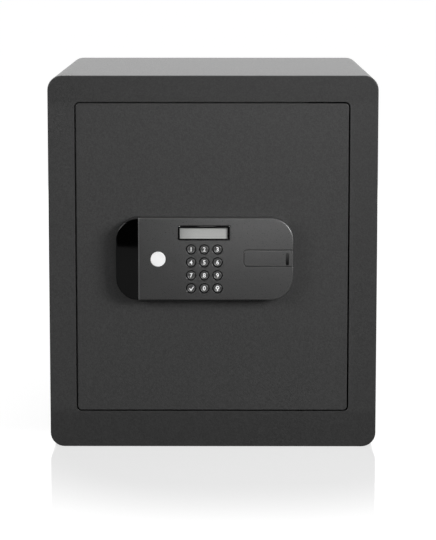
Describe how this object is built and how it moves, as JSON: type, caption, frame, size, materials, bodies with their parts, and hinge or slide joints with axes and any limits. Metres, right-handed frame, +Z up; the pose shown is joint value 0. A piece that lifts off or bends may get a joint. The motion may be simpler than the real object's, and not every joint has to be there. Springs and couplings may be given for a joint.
{
  "type": "office safe with electronic lock",
  "caption": "Steel box safe with a flush hinged door, motor-driven bolts, a keypad and display unit and a sliding cover over the emergency lock.",
  "frame": {"origin": "centre of the body's underside, where it stands on the floor", "axes": "+X to the right as seen from the front, +Y from the door to the back, +Z up"},
  "size_m": [0.35, 0.3577, 0.4],
  "materials": {
    "paint": "fine textured powder coat",
    "keypad_plastic": "satin",
    "gloss_black": "polished",
    "silver": "silver painted",
    "white": "gloss",
    "black_plastic": "fine grain",
    "key_plastic": "satin",
    "lcd": "smooth",
    "steel": "ground",
    "zinc": "zinc plated",
    "brass": "machined",
    "felt": "needle felt",
    "rubber": "moulded",
    "board": "solder mask",
    "cell": "plain sleeve",
    "red_plastic": "moulded"
  },
  "bodies": {
    "safe_body": {"front_frame": "paint", "body_shell": "paint", "back_panel": "paint", "door_jamb": "paint", "door_stop": "paint", "floor_mat": "felt", "shelf_rail_left": "zinc", "shelf_rail_right": "zinc", "hinge_socket_upper": "zinc", "hinge_socket_lower": "zinc"},
    "door": {"door_plate": "paint", "hinge_arm_upper": "zinc", "hinge_arm_lower": "zinc", "bolt_housing": "zinc", "guide_bush_upper": "brass", "guide_bush_lower": "brass", "guide_stud_left": "steel", "guide_stud_right": "steel", "gear_motor": "steel", "motor_bracket": "zinc", "lock_body": "steel", "inner_cover": "black_plastic", "cover_screw_1": "steel", "cover_screw_2": "steel", "cover_screw_3": "steel", "cover_screw_4": "steel", "battery_tray": "black_plastic", "cell_1": "cell", "cell_2": "cell", "cell_3": "cell", "cell_4": "cell", "end_panel": "gloss_black", "trim_strip": "silver", "keypad_housing": "keypad_plastic", "badge_disc": "white", "display_bezel": "black_plastic", "display_window": "lcd", "keypad_mat": "rubber", "keypad_board": "board"},
    "bolt_work": {"bolt_carrier": "zinc", "bolt_upper": "steel", "bolt_lower": "steel"},
    "drive_pinion": {"pinion": "brass"},
    "override_plug": {"lock_plug": "brass"},
    "override_cover": {"key_cover": "keypad_plastic"},
    "battery_lid": {"battery_cover": "black_plastic"},
    "setting_push": {"setting_button": "red_plastic"},
    "shelf_tray": {"shelf": "paint"},
    "key_1_cap": {"key_1": "key_plastic"},
    "key_2_cap": {"key_2": "key_plastic"},
    "key_3_cap": {"key_3": "key_plastic"},
    "key_4_cap": {"key_4": "key_plastic"},
    "key_5_cap": {"key_5": "key_plastic"},
    "key_6_cap": {"key_6": "key_plastic"},
    "key_7_cap": {"key_7": "key_plastic"},
    "key_8_cap": {"key_8": "key_plastic"},
    "key_9_cap": {"key_9": "key_plastic"},
    "key_confirm_cap": {"key_confirm": "key_plastic"},
    "key_0_cap": {"key_0": "key_plastic"},
    "key_lock_cap": {"key_lock": "key_plastic"}
  },
  "joints": [
    {"name": "door_hinge", "type": "hinge", "parent": "safe_body", "child": "door", "pos_m": [0.118, -0.159, 0.2], "axis": [0, 0, 1], "range_deg": [0, 100]},
    {"name": "bolt_slide", "type": "slide", "parent": "door", "child": "bolt_work", "axis": [-1, 0, 0], "range_m": [0, 0.02]},
    {"name": "pinion_turn", "type": "hinge", "parent": "door", "child": "drive_pinion", "pos_m": [-0.0373, -0.155, 0.21417], "axis": [0, 1, 0], "range_deg": [0, 128]},
    {"name": "override_turn", "type": "hinge", "parent": "door", "child": "override_plug", "pos_m": [0.0407, -0.17, 0.20765], "axis": [0, 1, 0], "range_deg": [-90, 0]},
    {"name": "key_cover_slide", "type": "slide", "parent": "door", "child": "override_cover", "axis": [1, 0, 0], "range_m": [0, 0.0155]},
    {"name": "battery_cover_slide", "type": "slide", "parent": "door", "child": "battery_lid", "axis": [-1, 0, 0], "range_m": [0, 0.06]},
    {"name": "setting_button_press", "type": "slide", "parent": "door", "child": "setting_push", "axis": [0, -1, 0], "range_m": [0, 0.0015], "stiffness_N_per_m": 400, "springref_m": -0.0005},
    {"name": "shelf_lift", "type": "slide", "parent": "safe_body", "child": "shelf_tray", "axis": [0, 0, 1], "range_m": [0, 0.02]},
    {"name": "key_1_press", "type": "slide", "parent": "door", "child": "key_1_cap", "axis": [0, 1, 0], "range_m": [0, 0.001], "stiffness_N_per_m": 1000, "springref_m": -0.0003},
    {"name": "key_2_press", "type": "slide", "parent": "door", "child": "key_2_cap", "axis": [0, 1, 0], "range_m": [0, 0.001], "stiffness_N_per_m": 1000, "springref_m": -0.0003},
    {"name": "key_3_press", "type": "slide", "parent": "door", "child": "key_3_cap", "axis": [0, 1, 0], "range_m": [0, 0.001], "stiffness_N_per_m": 1000, "springref_m": -0.0003},
    {"name": "key_4_press", "type": "slide", "parent": "door", "child": "key_4_cap", "axis": [0, 1, 0], "range_m": [0, 0.001], "stiffness_N_per_m": 1000, "springref_m": -0.0003},
    {"name": "key_5_press", "type": "slide", "parent": "door", "child": "key_5_cap", "axis": [0, 1, 0], "range_m": [0, 0.001], "stiffness_N_per_m": 1000, "springref_m": -0.0003},
    {"name": "key_6_press", "type": "slide", "parent": "door", "child": "key_6_cap", "axis": [0, 1, 0], "range_m": [0, 0.001], "stiffness_N_per_m": 1000, "springref_m": -0.0003},
    {"name": "key_7_press", "type": "slide", "parent": "door", "child": "key_7_cap", "axis": [0, 1, 0], "range_m": [0, 0.001], "stiffness_N_per_m": 1000, "springref_m": -0.0003},
    {"name": "key_8_press", "type": "slide", "parent": "door", "child": "key_8_cap", "axis": [0, 1, 0], "range_m": [0, 0.001], "stiffness_N_per_m": 1000, "springref_m": -0.0003},
    {"name": "key_9_press", "type": "slide", "parent": "door", "child": "key_9_cap", "axis": [0, 1, 0], "range_m": [0, 0.001], "stiffness_N_per_m": 1000, "springref_m": -0.0003},
    {"name": "key_confirm_press", "type": "slide", "parent": "door", "child": "key_confirm_cap", "axis": [0, 1, 0], "range_m": [0, 0.001], "stiffness_N_per_m": 1000, "springref_m": -0.0003},
    {"name": "key_0_press", "type": "slide", "parent": "door", "child": "key_0_cap", "axis": [0, 1, 0], "range_m": [0, 0.001], "stiffness_N_per_m": 1000, "springref_m": -0.0003},
    {"name": "key_lock_press", "type": "slide", "parent": "door", "child": "key_lock_cap", "axis": [0, 1, 0], "range_m": [0, 0.001], "stiffness_N_per_m": 1000, "springref_m": -0.0003}
  ],
  "couplings": [
    {"joint": "pinion_turn", "follows": "bolt_slide", "rad_per_m": 111.11}
  ]
}
